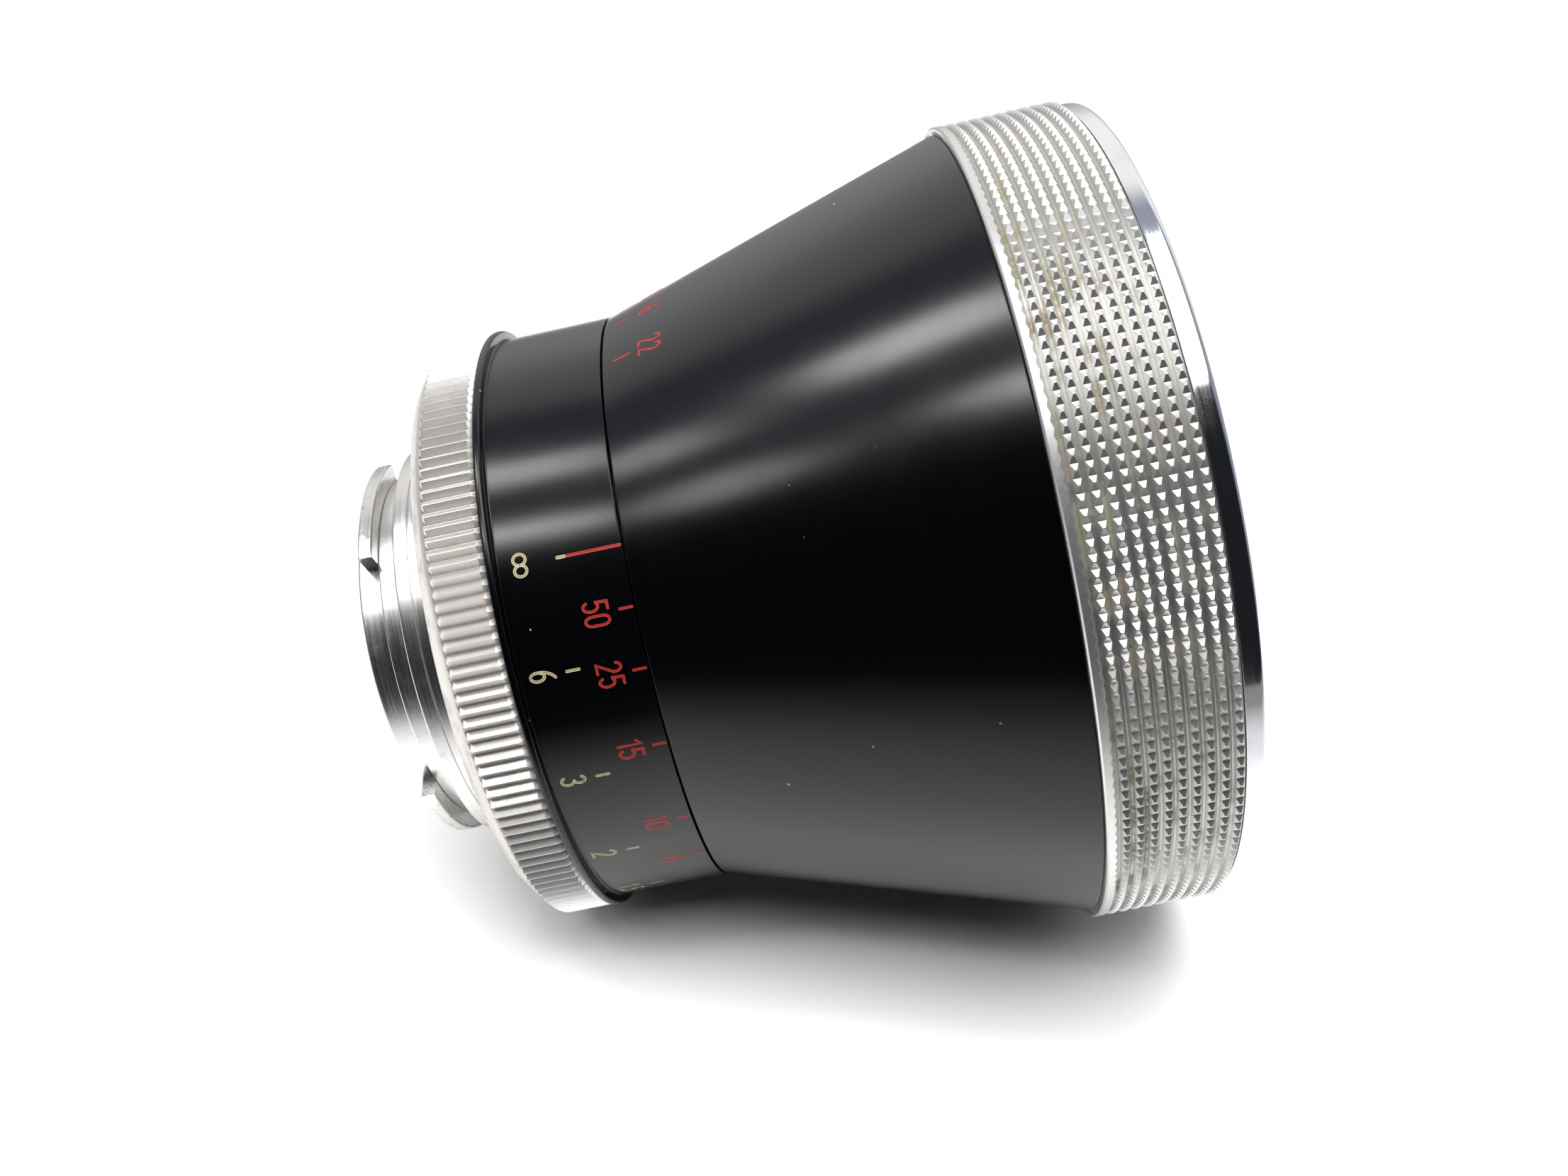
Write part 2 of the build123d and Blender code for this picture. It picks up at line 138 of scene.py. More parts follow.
def bar_faces(bm, slices, closed=False):
    """Join the slices of a bar, and cap its ends unless it closes on itself."""
    grid_faces(bm, slices, wrap_rows=closed)
    if not closed:
        bm.faces.new(slices[0])
        bm.faces.new(reversed(slices[-1]))


def lathe(name, outline, segments=SEGMENTS):
    """A closed outline turned about the optical axis."""
    bm = bmesh.new()
    rows = [ring(bm, radius, height, segments) for radius, height in rounded(outline)]
    grid_faces(bm, rows, wrap_rows=True)
    return finish_mesh(name, bm)


def piece(obj, body, material, replaces=()):
    """Give a finished mesh its material, body, slot and the CAD nodes it stands for."""
    obj.data.materials.clear()
    obj.data.materials.append(material)
    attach(obj, body)
    if replaces:
        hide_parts(*replaces)
    return obj


# --- Shader building ----------------------------------------------------------------------------
class Graph:
    """Short calls for the nodes of a material or of the world."""

    def __init__(self, owner):
        owner.use_nodes = True
        self.nodes = owner.node_tree.nodes
        self.links = owner.node_tree.links

    def feed(self, socket, value):
        """Give a socket another node's output or a plain value."""
        if isinstance(value, bpy.types.NodeSocket):
            self.links.new(value, socket)
        else:
            socket.default_value = value

    def math(self, operation, a, b=0.0, clamp=False):
        node = self.nodes.new("ShaderNodeMath")
        node.operation = operation
        node.use_clamp = clamp
        self.feed(node.inputs[0], a)
        self.feed(node.inputs[1], b)
        return node.outputs[0]

    def along(self, source, axis):
        """How far a place or a direction reaches along an axis."""
        node = self.nodes.new("ShaderNodeVectorMath")
        node.operation = "DOT_PRODUCT"
        self.feed(node.inputs[0], source)
        self.feed(node.inputs[1], axis)
        return node.outputs["Value"]

    def between(self, source, low, high, to_low=0.0, to_high=1.0, interpolation="SMOOTHSTEP"):
        """Map a value from one range to another, held at both ends."""
        node = self.nodes.new("ShaderNodeMapRange")
        node.interpolation_type = interpolation
        self.feed(node.inputs["Value"], source)
        for key, value in (("From Min", low), ("From Max", high), ("To Min", to_low), ("To Max", to_high)):
            node.inputs[key].default_value = value
        return node.outputs["Result"]

    def blend(self, factor, a, b):
        """Mix two colours by a factor."""
        node = self.nodes.new("ShaderNodeMix")
        node.data_type = "RGBA"
        self.feed(node.inputs["Factor"], factor)
        for socket, value in zip([s for s in node.inputs if s.type == "RGBA"], (a, b)):
            self.feed(socket, value if isinstance(value, bpy.types.NodeSocket) else (*value, 1.0))
        return [s for s in node.outputs if s.type == "RGBA"][0]

    def choose(self, factor, a, b):
        """Mix two shaders by a factor."""
        node = self.nodes.new("ShaderNodeMixShader")
        for socket, source in zip(node.inputs, (factor, a, b)):
            self.links.new(source, socket)
        return node.outputs[0]


class Shader(Graph):
    """A new material with one Principled shader, and the places and patterns that feed it."""

    def __init__(self, name, **sockets):
        self.material = bpy.data.materials.new(name)
        super().__init__(self.material)
        self.surface = self.nodes["Principled BSDF"]
        for socket, value in sockets.items():
            self.surface.inputs[socket.replace("_", " ").title().replace("Ior", "IOR")].default_value = value
        in_mm = self.nodes.new("ShaderNodeVectorMath")
        in_mm.operation = "SCALE"
        in_mm.inputs["Scale"].default_value = 1 / MM
        self.links.new(self.nodes.new("ShaderNodeTexCoord").outputs["Object"], in_mm.inputs[0])
        self.place = in_mm.outputs[0]
        split = self.nodes.new("ShaderNodeSeparateXYZ")
        self.links.new(self.place, split.inputs[0])
        x, y, self.height = split.outputs
        squares = self.math("POWER", x, 2.0), self.math("POWER", y, 2.0)
        self.radius = self.math("SQRT", self.math("ADD", *squares))
        self.angle = self.math("ARCTAN2", y, x)

    def round_the_axis(self, per_turn, across):
        """Coordinates that stretch a texture round the axis: angle, radius and height."""
        node = self.nodes.new("ShaderNodeCombineXYZ")
        self.feed(node.inputs[0], self.math("MULTIPLY", self.angle, per_turn))
        self.feed(node.inputs[1], self.math("MULTIPLY", self.radius, across))
        self.feed(node.inputs[2], self.math("MULTIPLY", self.height, across))
        return node.outputs[0]

    def noise(self, scale, detail=3.0, rough=0.5, place=None):
        node = self.nodes.new("ShaderNodeTexNoise")
        self.feed(node.inputs["Vector"], place or self.place)
        node.inputs["Scale"].default_value = scale
        node.inputs["Detail"].default_value = detail
        node.inputs["Roughness"].default_value = rough
        return node.outputs["Fac"]

    def cells(self, scale):
        """Distance to the nearest of many scattered points."""
        node = self.nodes.new("ShaderNodeTexVoronoi")
        self.feed(node.inputs["Vector"], self.place)
        node.inputs["Scale"].default_value = scale
        return node.outputs["Distance"]

    def bump(self, source, depth_mm, strength=1.0):
        node = self.nodes.new("ShaderNodeBump")
        node.inputs["Strength"].default_value = strength
        node.inputs["Distance"].default_value = depth_mm * MM
        self.feed(node.inputs["Height"], source)
        self.set("Normal", node.outputs[0])

    def set(self, socket, source):
        """Feed one of the Principled shader's sockets."""
        self.feed(self.surface.inputs[socket], source)


def lacquer():
    """Semi-gloss black lacquer, a little uneven, with specks of dust."""
    s = Shader("black_lacquer", specular_ior_level=0.45)
    uneven = s.noise(0.35, 5.0)
    grain = s.noise(7.0, 3.0, 0.6)
    dust = s.math("MULTIPLY", s.between(s.cells(0.4), 0.05, 0.035), s.between(s.noise(0.23, 1.0), 0.5, 0.56))
    base = s.blend(uneven, (0.0004, 0.0005, 0.0008), (0.0008, 0.0010, 0.0014))
    s.set("Base Color", s.blend(dust, base, (0.35, 0.35, 0.34)))
    sheen = s.between(uneven, 0.2, 0.8, 0.175, 0.195)
    s.set("Roughness", s.math("ADD", sheen, s.math("MULTIPLY", dust, 0.4)))
    s.bump(s.math("ADD", grain, s.math("MULTIPLY", dust, 2.0)), 0.004, 0.30)
    return s.material


def knurl_chrome(name, outer, depth, heights, dirt_and_shade_amounts, metallic, roughness, colours):
    """Satin chrome, its colour painted darker towards the bottom of the knurl as painted shade, with olive and
    brown soiling there that is partly real soiling and partly painted shade, most of it towards one end.
    """
    s = Shader(name)
    sunk = s.between(s.radius, outer - depth * 0.35, outer - depth * 0.95)
    patchy = s.between(s.noise(0.9, 4.0, 0.65, s.round_the_axis(9.0, 0.55)), 0.46, 0.62)
    fine = s.between(s.noise(3.0, 3.0, 0.7), 0.30, 0.55)
    towards = s.between(s.height, *heights, *dirt_and_shade_amounts)
    # Soiling mask: partly real soiling and partly painted shade in the bottom of the knurl, most of it towards
    # one end.
    dirt_and_shade = s.math("MULTIPLY", s.math("MULTIPLY", sunk, towards), s.math("MULTIPLY", patchy, fine), True)
    brown = s.between(s.noise(0.35, 3.0), 0.50, 0.62)
    grime_and_shade = s.blend(brown, (0.20, 0.20, 0.10), (0.22, 0.13, 0.05))
    # Painted shade: the metal's colour goes darker towards the bottom of the knurl.
    metal = s.blend(s.math("MULTIPLY", sunk, 0.6), *colours)
    s.set("Base Color", s.blend(dirt_and_shade, metal, grime_and_shade))
    s.set("Metallic", s.math("SUBTRACT", metallic, s.math("MULTIPLY", dirt_and_shade, metallic)))
    uneven = s.between(s.noise(5.0, 3.0), 0.3, 0.7, roughness - 0.04, roughness + 0.04)
    s.set("Roughness", s.math("ADD", uneven, s.math("MULTIPLY", dirt_and_shade, 0.3)))
    s.bump(s.noise(11.0, 3.0, 0.6), 0.0009, 0.4)
    return s.material


def polished_chrome():
    """Bright chrome with faint turning lines and a few rubbed patches."""
    s = Shader("polished_chrome", metallic=1.0)
    lines = s.noise(1.0, 4.0, 0.6, s.round_the_axis(1.2, 9.0))
    rubbed = s.between(s.noise(0.25, 3.0), 0.45, 0.7)
    s.set("Base Color", s.blend(rubbed, (0.86, 0.86, 0.87), (0.76, 0.76, 0.77)))
    turned = s.between(lines, 0.3, 0.7, 0.05, 0.11)
    s.set("Roughness", s.math("ADD", turned, s.math("MULTIPLY", rubbed, 0.06)))
    s.bump(lines, 0.0015, 0.4)
    return s.material


def mount_metal():
    """Turned, plated metal: soft streaks round the axis, dull stains, and brass where the lugs are worn."""
    s = Shader("mount_metal", metallic=1.0)
    lines = s.noise(1.0, 5.0, 0.65, s.round_the_axis(1.0, 7.0))
    stain = s.between(s.noise(0.55, 5.0, 0.7), 0.52, 0.80)
    rim = s.math("MULTIPLY", s.between(s.radius, 15.95, 16.2), s.between(s.height, -1.2, -1.9))
    worn = s.math("MULTIPLY", rim, s.between(s.noise(0.8, 4.0, 0.7), 0.53, 0.68))
    metal = s.blend(lines, (0.64, 0.63, 0.61), (0.80, 0.785, 0.765))
    stained = s.blend(s.math("MULTIPLY", stain, 0.6), metal, (0.27, 0.25, 0.23))
    s.set("Base Color", s.blend(worn, stained, (0.45, 0.33, 0.17)))
    s.set("Roughness", s.between(s.math("ADD", lines, s.math("MULTIPLY", stain, 0.4)), 0.3, 1.0, 0.24, 0.42))
    s.bump(lines, 0.0022, 0.5)
    return s.material


def plain_metal(name, dark, light, rough_low, rough_high):
    """A turned metal part inside the lens."""
    s = Shader(name, metallic=1.0)
    lines = s.noise(1.0, 4.0, 0.6, s.round_the_axis(1.5, 6.0))
    s.set("Base Color", s.blend(lines, dark, light))
    s.set("Roughness", s.between(lines, 0.3, 0.7, rough_low, rough_high))
    s.bump(lines, 0.004, 0.4)
    return s.material


def matt_black():
    """Black anodising inside the barrels."""
    s = Shader("matt_black", specular_ior_level=0.35)
    grain = s.noise(6.0, 4.0, 0.6)
    s.set("Base Color", s.blend(grain, (0.010, 0.010, 0.011), (0.022, 0.022, 0.023)))
    s.set("Roughness", s.between(grain, 0.3, 0.7, 0.42, 0.62))
    s.bump(grain, 0.006, 0.4)
    return s.material


def coated_glass():
    """Optical glass with a violet-blue coating and a trace of dust."""
    s = Shader("coated_glass", transmission_weight=1.0, ior=1.52, thin_film_thickness=330.0)
    s.surface.inputs["Thin Film IOR"].default_value = 1.38
    film = s.between(s.noise(0.12, 3.0), 0.4, 0.75)
    dust = s.between(s.cells(0.8), 0.06, 0.03)
    s.set("Base Color", s.blend(dust, (0.93, 0.95, 1.0), (0.75, 0.75, 0.75)))
    s.set("Roughness", s.math("ADD", s.math("MULTIPLY", film, 0.012), s.math("MULTIPLY", dust, 0.3)))
    return s.material


def mark_paint(name, colour, painted_shade_core, dark, worn_at):
    """Paint in an engraved mark: bright along its edges, painted darker along its middle as painted shade in
    the groove, worn out in places.
    """
    s = Shader(name, specular_ior_level=0.3)
    across = s.nodes.new("ShaderNodeAttribute")
    across.attribute_name = ACROSS
    # Painted shade: the middle of each stroke takes a darker colour, as in the bottom of a groove.
    painted = s.blend(s.between(across.outputs["Fac"], 0.15, 0.75), painted_shade_core, colour)
    wear = s.between(s.noise(2.6, 4.0, 0.7), worn_at, worn_at + 0.10)
    s.set("Base Color", s.blend(wear, painted, dark))
    s.set("Roughness", s.between(wear, 0.0, 1.0, 0.45, 0.7))
    s.bump(s.noise(9.0, 3.0), 0.006, 0.5)
    return s.material


# --- Turned parts and knurls --------------------------------------------------------------------
def span(node):
    """Outer radius, rear height and front height of a CAD node, in millimetres."""
    low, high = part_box(node)
    return high.x / MM, low.z / MM, high.z / MM


CONE_FRONT_R, CONE_REAR, SPIGOT_FRONT = span("cone_barrel")
RING_R, RING_REAR, RING_FRONT = span("front_grip_ring")
BEZEL_R, BEZEL_REAR, BEZEL_FRONT = span("front_bezel")
LIP_R, SLEEVE_REAR, SLEEVE_FRONT = span("distance_scale_sleeve")
GRIP_R, GRIP_REAR, GRIP_TOP = span("focus_grip_ring")
FLANGE_R, MOUNT_REAR, FLANGE_FRONT = span("bayonet_mount")
SLEEVE_R = 24.0
SPIGOT_R, SPIGOT_BORE = 30.9, 29.5
FILTER_R = 29.6
THROAT_R = 12.4
TEETH_DEPTH = 0.47  # of the focusing ring's straight knurl
DIAMOND_DEPTH = 0.48  # of the grooves round the front ring


def cone_radius(height):
    """Radius of the cone's outside at a height."""
    part = (height - CONE_REAR) / (RING_REAR - CONE_REAR)
    return SLEEVE_R + part * (CONE_FRONT_R - SLEEVE_R)


def cone_shell():
    """The black cone, with a thin collar at the rear and the spigot that carries the front ring."""
    rear, bore, wall = SLEEVE_FRONT + 0.14, 20.35, 1.6
    collar_front, shoulder_rear = CONE_REAR + 3.1, RING_REAR - 2.0
    return lathe("cone_shell", [
        (bore, rear),
        (cone_radius(rear), rear, 0.10),
        (CONE_FRONT_R, RING_REAR - 0.02, 0.08),
        (SPIGOT_R, RING_REAR),
        (SPIGOT_R, SPIGOT_FRONT),
        (SPIGOT_BORE, SPIGOT_FRONT),
        (SPIGOT_BORE, shoulder_rear),
        (cone_radius(shoulder_rear) - wall, shoulder_rear),
        (cone_radius(collar_front) - wall, collar_front),
        (bore, collar_front),
    ], segments=288)


def scale_sleeve():
    """The black sleeve, with a rounded lip against the knurled ring."""
    inside = SLEEVE_R - 0.75
    return lathe("scale_sleeve", [
        (inside, SLEEVE_REAR),
        (LIP_R, SLEEVE_REAR, 0.22),
        (LIP_R, SLEEVE_REAR + 0.56, 0.25),
        (SLEEVE_R, SLEEVE_REAR + 0.66, 0.12),
        (SLEEVE_R, SLEEVE_FRONT, 0.06),
        (inside, SLEEVE_FRONT),
    ])


def straight_knurl(teeth=163, land=0.035):
    """The focusing ring: sharp straight teeth, cut through to a lower rear rim and chamfered at both ends."""
    valley_r = GRIP_R - TEETH_DEPTH
    teeth_rear, teeth_front = GRIP_REAR + 1.2, 9.04
    spigot_r, cavity_r, bore = 23.2, 22.4, 17.1
    # Height, radius along the crests and radius along the valleys.
    profile = [
        (GRIP_REAR, bore, bore),
        (GRIP_REAR, 22.75, 22.75),
        (GRIP_REAR + 0.08, 22.95, 22.95),
        (GRIP_REAR + 0.78, 23.82, 23.82),
        (GRIP_REAR + 0.84, 23.88, 23.88),
        (teeth_rear - 0.06, valley_r - 0.03, valley_r - 0.03),
        (teeth_rear, valley_r, valley_r),
        (teeth_rear + 0.22, GRIP_R, valley_r),
        (teeth_front - 0.38, GRIP_R, valley_r),
        (teeth_front, GRIP_R - 0.38, valley_r - 0.02),
        (teeth_front, spigot_r, spigot_r),
        (GRIP_TOP, spigot_r, spigot_r),
        (GRIP_TOP, cavity_r, cavity_r),
        (GRIP_REAR + 1.0, cavity_r, cavity_r),
        (GRIP_REAR + 1.0, bore, bore),
    ]
    pitch, half_land = TURN / teeth, land / 2 / GRIP_R
    columns = []
    for tooth in range(teeth):
        valley, crest = tooth * pitch, (tooth + 0.5) * pitch
        columns += [(valley - half_land, False), (valley + half_land, False)]
        columns += [(crest - half_land, True), (crest + half_land, True)]
    bm = bmesh.new()
    rows = []
    for height, on_crest, in_valley in profile:
        places = [point(on_crest if crested else in_valley, angle, height) for angle, crested in columns]
        rows.append([bm.verts.new(place) for place in places])
    grid_faces(bm, rows, wrap_rows=True)
    return finish_mesh("focus_knurl", bm, smooth_angle=20)


def diamond_knurl(teeth=216, rows=9, pitch=0.96, first_row=48.43):
    """The front ring: ridges notched into small cut-off pyramids, between round-bottomed grooves."""
    tip_half, v_half = 0.085 * pitch, 0.285 * pitch
    v_r = RING_R - 0.27
    # Half widths and depths of the ridge below the notches, down to the middle of the groove.
    flank = ((0.36 * pitch, 0.40), (0.42 * pitch, 0.45))
    floor_r = RING_R - DIAMOND_DEPTH
    bore, notch, edge = SPIGOT_R + 0.05, 0.16, 0.12
    half_step = TURN / teeth / 2
    tip_angle = tip_half * 0.5 / RING_R
    bm = bmesh.new()

    def loop(radius, height, shift=0.0):
        return ring(bm, radius, height, teeth, shift)

    first_groove = first_row - pitch / 2
    inner_rear = loop(bore, RING_REAR)
    outer_rear = loop(RING_R - edge, RING_REAR)
    margin_rear = loop(RING_R, RING_REAR + edge)
    # The margin's front edge has a small notch where each cut along the axis meets it.
    edge_at_cut = loop(RING_R, first_groove - DIAMOND_DEPTH * 0.5 - notch)
    edge_between = loop(RING_R, first_groove - DIAMOND_DEPTH * 0.5, half_step)
    floor = loop(floor_r, first_groove)
    grid_faces(bm, [inner_rear, outer_rear, margin_rear, edge_at_cut])
    for i in range(teeth):
        j = (i + 1) % teeth
        bm.faces.new((edge_at_cut[i], edge_at_cut[j], edge_between[i]))
        bm.faces.new((edge_at_cut[i], edge_between[i], floor[i]))
        bm.faces.new((edge_between[i], edge_at_cut[j], floor[j]))
        bm.faces.new((edge_between[i], floor[j], floor[i]))
    for row in range(rows):
        middle = first_row + row * pitch
        rise = [loop(RING_R - sunk, middle - half) for half, sunk in reversed(flank)]
        low_v, high_v = loop(v_r, middle - v_half), loop(v_r, middle + v_half)
        grid_faces(bm, [floor, *rise, low_v])
        tips = [
            loop(RING_R, middle + side * tip_half, half_step + turn * tip_angle)
            for side, turn in ((-1, -1), (-1, 1), (1, 1), (1, -1))
        ]
        for i in range(teeth):
            j = (i + 1) % teeth
            a, b, c, d = (tip[i] for tip in tips)
            bm.faces.new((low_v[i], low_v[j], b, a))
            bm.faces.new((low_v[j], high_v[j], c, b))
            bm.faces.new((high_v[j], high_v[i], d, c))
            bm.faces.new((high_v[i], low_v[i], a, d))
            bm.faces.new((a, b, c, d))
        fall = [loop(RING_R - sunk, middle + half) for half, sunk in flank]
        floor = loop(floor_r, middle + pitch / 2 if row < rows - 1 else RING_FRONT)
        grid_faces(bm, [high_v, *fall, floor])
    grid_faces(bm, [floor, loop(bore, RING_FRONT), inner_rear])
    return finish_mesh("front_knurl", bm, smooth_angle=30)


def threaded_bezel(pitch=0.75, depth=0.35, samples=6):
    """The polished bezel, with a cut thread for filters inside its mouth."""
    thread_rear, thread_front = BEZEL_REAR + 1.3, BEZEL_FRONT - 0.75
    relief = FILTER_R + depth + 0.15
    outside = [
        (relief, BEZEL_REAR),
        (SPIGOT_R, BEZEL_REAR),
        (SPIGOT_R, RING_FRONT + 0.1),
        (BEZEL_R, RING_FRONT + 0.1, 0.06),
        (BEZEL_R, BEZEL_FRONT, 0.42),
        (FILTER_R + 0.9, BEZEL_FRONT, 0.15),
        (FILTER_R + 0.35, thread_front + 0.12, 0.05),
    ]
    profile = rounded(outside + [(relief, thread_front)])[:-2]
    bm = bmesh.new()
    rows = [ring(bm, radius, height) for radius, height in profile]
    turns = (thread_front - thread_rear) / pitch
    for k in range(int(turns * samples) + 1):
        height = thread_front - k * pitch / samples
        fade = min(1.0, k / samples, (turns * samples - k) / samples)  # runs out at both ends
        row = []
        for s in range(SEGMENTS):
            phase = (height / pitch + s / SEGMENTS) % 1.0
            radius = FILTER_R + depth * (1.0 - fade * abs(2.0 * phase - 1.0))
            row.append(bm.verts.new(point(radius, TURN * s / SEGMENTS, height)))
        rows.append(row)
    rows.append(ring(bm, relief, thread_rear - 0.1))
    grid_faces(bm, rows, wrap_rows=True)
    return finish_mesh("filter_bezel", bm, smooth_angle=30)


def black_trim_ring(ribs=6):
    """The flat black ring round the front glass, with a ribbed wall down to the glass."""
    _, rear, front = span("trim_ring")
    outer, body, foot = 30.0, 27.25, 25.8
    flange_rear, foot_front = 53.05, 48.25
    wall_top, wall_foot = 26.6, 25.0
    outline = [
        (wall_foot, rear),
        (foot, rear),
        (foot, foot_front),
        (body, foot_front),
        (body, flange_rear),
        (outer, flange_rear),
        (outer, front, 0.1),
        (wall_top + 1.0, front, 0.1),
        (wall_top + 0.85, front - 0.12),
        (wall_top, front - 0.12, 0.05),
    ]
    rise = (front - 0.5 - rear) / ribs
    for rib in range(ribs):
        top = front - 0.5 - rib * rise
        edge = wall_foot + (wall_top - wall_foot) * (top - rear) / (front - rear)
        outline += [(edge, top), (edge + 0.18, top - 0.3 * rise), (edge - 0.16, top - 0.75 * rise)]
    return lathe("trim_ring_ribbed", outline[:-1])


def mount_tube():
    """The bayonet's tube, neck and flange, with a line turned round the flange and grooves in the throat."""
    grooves = [(THROAT_R + (0.35 if k % 2 else 0.0), 1.2 - 0.3 * k) for k in range(9)]
    return lathe("mount_tube", [
        (THROAT_R, MOUNT_REAR, 0.1),
        (14.25, MOUNT_REAR, 0.22),
        (14.25, -1.9, 0.05),
        (14.8, -1.9, 0.12),
        (14.8, -0.32, 0.1),
        (14.62, -0.22),
        (14.62, 0.0, 0.05),
        (FLANGE_R, 0.0, 0.15),
        (FLANGE_R, 1.12, 0.04),
        (FLANGE_R - 0.06, 1.17),
        (FLANGE_R, 1.24, 0.04),
        (FLANGE_R, FLANGE_FRONT, 0.08),
        (THROAT_R, FLANGE_FRONT),
        *grooves,
        (THROAT_R, -2.6),
    ])


def bayonet_lug(name, start_deg, arc_deg=46.0, steps=34):
    """One lug of the bayonet, its edges rounded by use, its ends sloping to the tube."""
    inner, outer, rear, front, edge = 13.9, 16.2, -3.0, -1.9, 0.13
    section = rounded([(inner, rear), (outer, rear, edge), (outer, front, edge * 1.4), (inner, front)], 3)
    bm = bmesh.new()
    slices = []
    for k in range(steps + 1):
        from_end = min(k, steps - k) * arc_deg / steps
        # Over the last part of a degree each end is rounded off, as its corners are.
        inset = 0.12 * (1.0 - min(1.0, from_end / 1.3)) ** 2
        angle = math.radians(start_deg + arc_deg * k / steps)
        slices.append([bm.verts.new(point(min(r, outer - inset), angle, z)) for r, z in section])
    bar_faces(bm, slices)
    return finish_mesh(name, bm, smooth_angle=35)


def lens_glass(name, radius, rear_edge, rear_centre, front_edge, front_centre, steps=20, segments=120):
    """A lens element with two spherical faces, a ground edge and small bevels."""
    bevel = 0.15
    edge_r = radius - bevel

    def face(edge, centre):
        sag = centre - edge
        curve = (edge_r ** 2 + sag ** 2) / (2 * sag)
        heights = []
        for k in range(steps + 1):
            r = edge_r * k / steps
            drop = abs(curve) - math.sqrt(curve ** 2 - r ** 2)
            heights.append((r, centre - math.copysign(drop, curve)))
        return heights

    ground = [(radius, rear_edge + bevel), (radius, front_edge - bevel)]
    profile = face(rear_edge, rear_centre)[1:] + ground + face(front_edge, front_centre)[:0:-1]
    bm = bmesh.new()
    rows = [ring(bm, r, height, segments) for r, height in profile]
    grid_faces(bm, rows)
    for row, centre in ((rows[0], rear_centre), (rows[-1], front_centre)):
        pole = bm.verts.new(point(0.0, 0.0, centre))
        for s in range(segments):
            bm.faces.new((row[s], row[(s + 1) % segments], pole))
    return finish_mesh(name, bm)


# --- Engraved marks -----------------------------------------------------------------------------
def bow(cx, cy, rx, ry, start, end, steps=14):
    """Points of an arc of an ellipse, from one angle in degrees to another."""
    angles = [math.radians(start + (end - start) * k / steps) for k in range(steps + 1)]
    return [(cx + rx * math.cos(a), cy + ry * math.sin(a)) for a in angles]


# Strokes of each figure on a field 0.5 wide and 1 high.
FIGURES = {
    "0": [bow(0.25, 0.72, 0.25, 0.28, 0, 180, 8) + bow(0.25, 0.28, 0.25, 0.28, 180, 360, 8) + [(0.5, 0.72)]],
    "1": [[(0.02, 0.80), (0.26, 1.0), (0.26, 0.0)]],
    "2": [bow(0.25, 0.74, 0.24, 0.26, 165, -25) + [(0.0, 0.0), (0.5, 0.0)]],
    "3": [bow(0.24, 0.76, 0.22, 0.24, 150, -80), bow(0.24, 0.27, 0.26, 0.27, 90, -150)],
    "4": [[(0.36, 0.0), (0.36, 1.0), (0.0, 0.28), (0.5, 0.28)]],
    "5": [[(0.46, 1.0), (0.06, 1.0), (0.04, 0.56)] + bow(0.24, 0.31, 0.25, 0.31, 125, -150)],
    "6": [bow(0.25, 0.29, 0.24, 0.29, 0, 360, 18), bow(0.62, 0.32, 0.61, 0.74, 178, 108, 8)],
    "8": [bow(0.25, 0.76, 0.21, 0.24, 0, 360, 16), bow(0.25, 0.27, 0.25, 0.27, 0, 360, 16)],
    ".": [[(0.2, 0.0), (0.2, 0.06)]],
}
FIGURE_WIDTH, FIGURE_HEIGHT, STROKE = 0.66, 1.70, 0.20
FIGURE_SPACING, WIDE_SPACING, NARROW = 1.0, 1.15, 0.72


def ribbon(bm, path, width, place):
    """A painted groove along a path of (x, y) in millimetres, as a shallow dished strip with round ends."""
    layer = bm.verts.layers.float.get(ACROSS) or bm.verts.layers.float.new(ACROSS)
    points = [Vector(p) for p in path]
    closed = (points[0] - points[-1]).length < 1e-4
    if closed:
        points.pop()
    count = len(points)
    stations = []
    for i, here in enumerate(points):
        before = points[i - 1] if (i or closed) else here
        after = points[(i + 1) % count] if (i < count - 1 or closed) else here
        back, on = (here - before), (after - here)
        back = back.normalized() if back.length else on.normalized()
        on = on.normalized() if on.length else back
        along = (back + on).normalized()
        stretch = min(1.6, 1.0 / max(0.3, along.dot(on)))
        stations.append((here, along, width / 2 * stretch))
    if not closed:
        (first, out, half), (last, on, last_half) = stations[0], stations[-1]
        # How far past the end, and how wide there, as parts of half the stroke's width.
        taper = ((0.45, 0.85), (0.85, 0.4))
        head = [(first - out * half * past, out, half * wide) for past, wide in reversed(taper)]
        tail = [(last + on * last_half * past, on, last_half * wide) for past, wide in taper]
        stations = head + stations + tail
    dish = ((0.45, 0.006), (1.0, 0.012), (1.0, -0.02))
    section = [(-across, lift) for across, lift in reversed(dish)] + [(0.0, 0.004), *dish]
    slices = []
    for here, along, half in stations:
        side = Vector((-along.y, along.x))
        slices.append([bm.verts.new(place(here + side * (half * across), lift)) for across, lift in section])
        for vert, (across, _) in zip(slices[-1], section):
            vert[layer] = abs(across)
    bar_faces(bm, slices, closed)


def on_barrel(radius_at, angle_deg, height):
    """A function that lays a mark's own (x, y) on the barrel round a place given by angle and height."""
    def place(spot, lift):
        z = height + spot.y
        radius = radius_at(z) + lift
        return point(radius, math.radians(angle_deg) + spot.x / radius, z)
    return place


